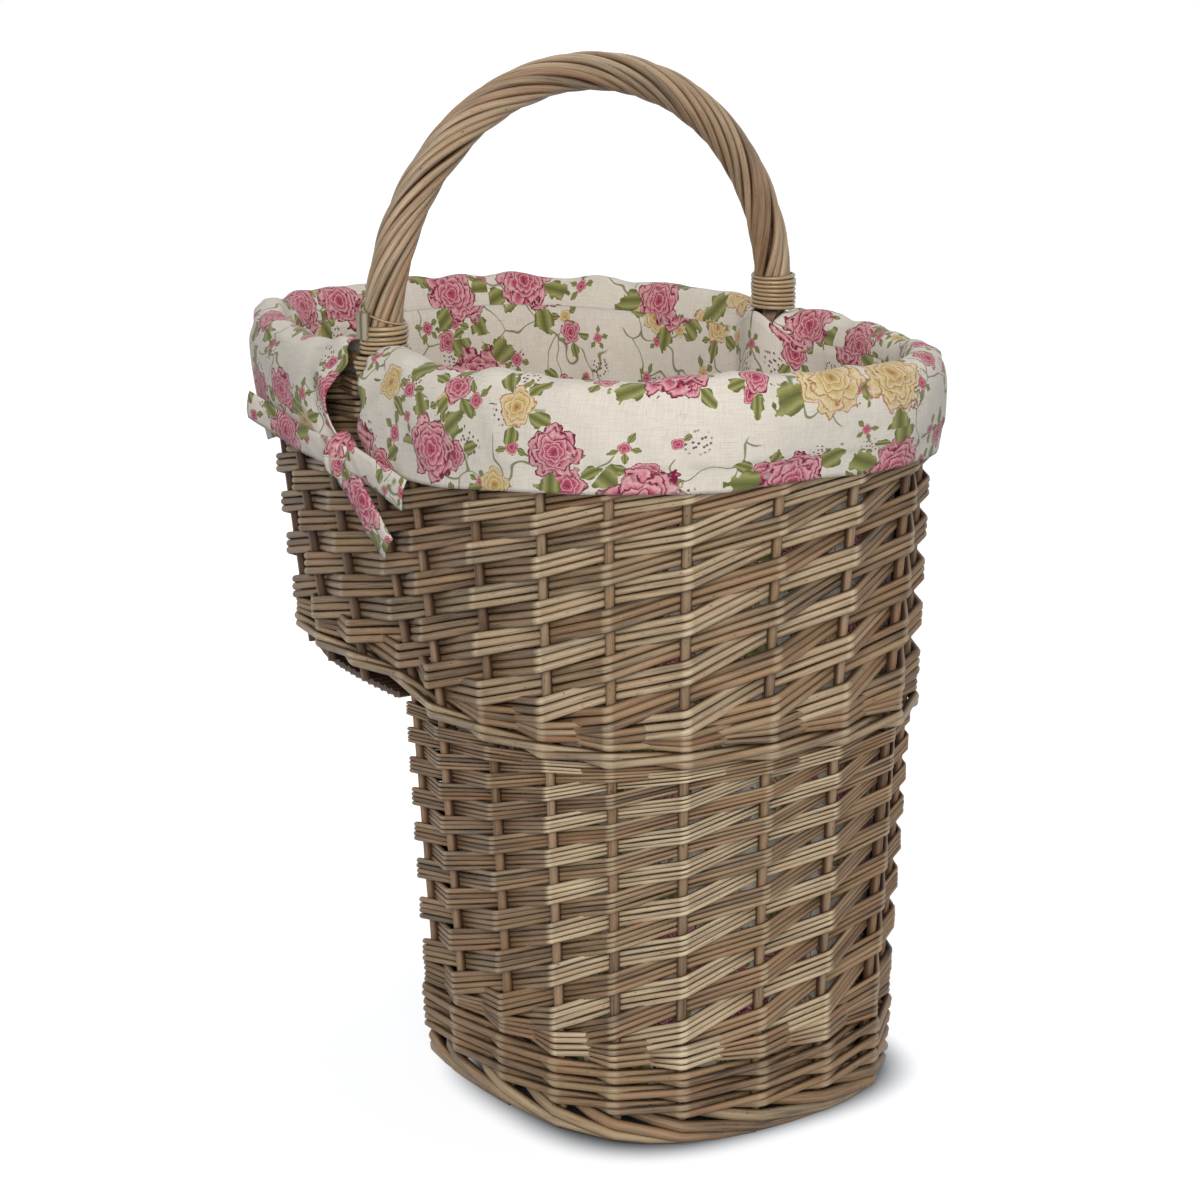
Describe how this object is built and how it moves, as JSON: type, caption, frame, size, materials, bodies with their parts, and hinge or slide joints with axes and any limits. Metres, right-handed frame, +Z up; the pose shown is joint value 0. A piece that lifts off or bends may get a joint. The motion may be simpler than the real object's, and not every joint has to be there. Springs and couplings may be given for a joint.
{
  "type": "stair basket",
  "caption": "Lined woven willow basket with a step in its underside for standing on stairs, a roped bow handle, and a turned-over cloth cuff tied at the handle's feet.",
  "frame": {"origin": "middle of the bounding box in plan, at the height of the floor under the foot border", "axes": "+Z up; +X to the tall rounded front that stands on the lower stair, -X to the overhang that rests on the upper stair; Y across the basket, along the bow handle"},
  "size_m": [0.4722, 0.341, 0.5986],
  "materials": {
    "willow_stake": "satin, antique-washed brown willow rods",
    "willow_weave": "satin, antique-washed brown woven willow",
    "split_cane": "slightly glossy split cane",
    "printed_cotton": "matt natural cotton and linen cloth with a floral print"
  },
  "bodies": {
    "root": {"front_stake_01": "willow_stake", "front_stake_02": "willow_stake", "front_stake_03": "willow_stake", "front_stake_04": "willow_stake", "front_stake_05": "willow_stake", "front_stake_06": "willow_stake", "front_stake_07": "willow_stake", "front_stake_08": "willow_stake", "front_stake_09": "willow_stake", "front_stake_10": "willow_stake", "front_stake_11": "willow_stake", "front_stake_12": "willow_stake", "front_stake_13": "willow_stake", "front_stake_14": "willow_stake", "riser_stake_1": "willow_stake", "riser_stake_2": "willow_stake", "riser_stake_3": "willow_stake", "riser_stake_4": "willow_stake", "riser_stake_5": "willow_stake", "side_stake_1": "willow_stake", "side_stake_2": "willow_stake", "side_stake_3": "willow_stake", "side_stake_4": "willow_stake", "side_stake_5": "willow_stake", "side_stake_6": "willow_stake", "foot_border": "willow_stake", "bottom_wale": "willow_stake", "bottom_stick_1": "willow_stake", "bottom_stick_2": "willow_stake", "bottom_stick_3": "willow_stake", "middle_wale": "willow_stake", "top_border": "willow_stake", "handle_rope": "willow_stake", "handle_core": "willow_stake", "near_rod_end_1": "willow_stake", "near_rod_end_2": "willow_stake", "base_panel": "willow_weave", "lower_weave": "willow_weave", "upper_weave": "willow_weave", "overhang_floor": "willow_weave", "near_lashing": "split_cane", "far_lashing": "split_cane", "lining_bag": "printed_cotton", "front_cuff": "printed_cotton", "back_cuff": "printed_cotton", "near_knot": "printed_cotton", "near_tie_band": "printed_cotton", "near_tie_tail_1": "printed_cotton", "near_tie_tail_2": "printed_cotton", "far_knot": "printed_cotton", "far_tie_band": "printed_cotton", "far_tie_tail_1": "printed_cotton", "far_tie_tail_2": "printed_cotton"}
  },
  "joints": []
}
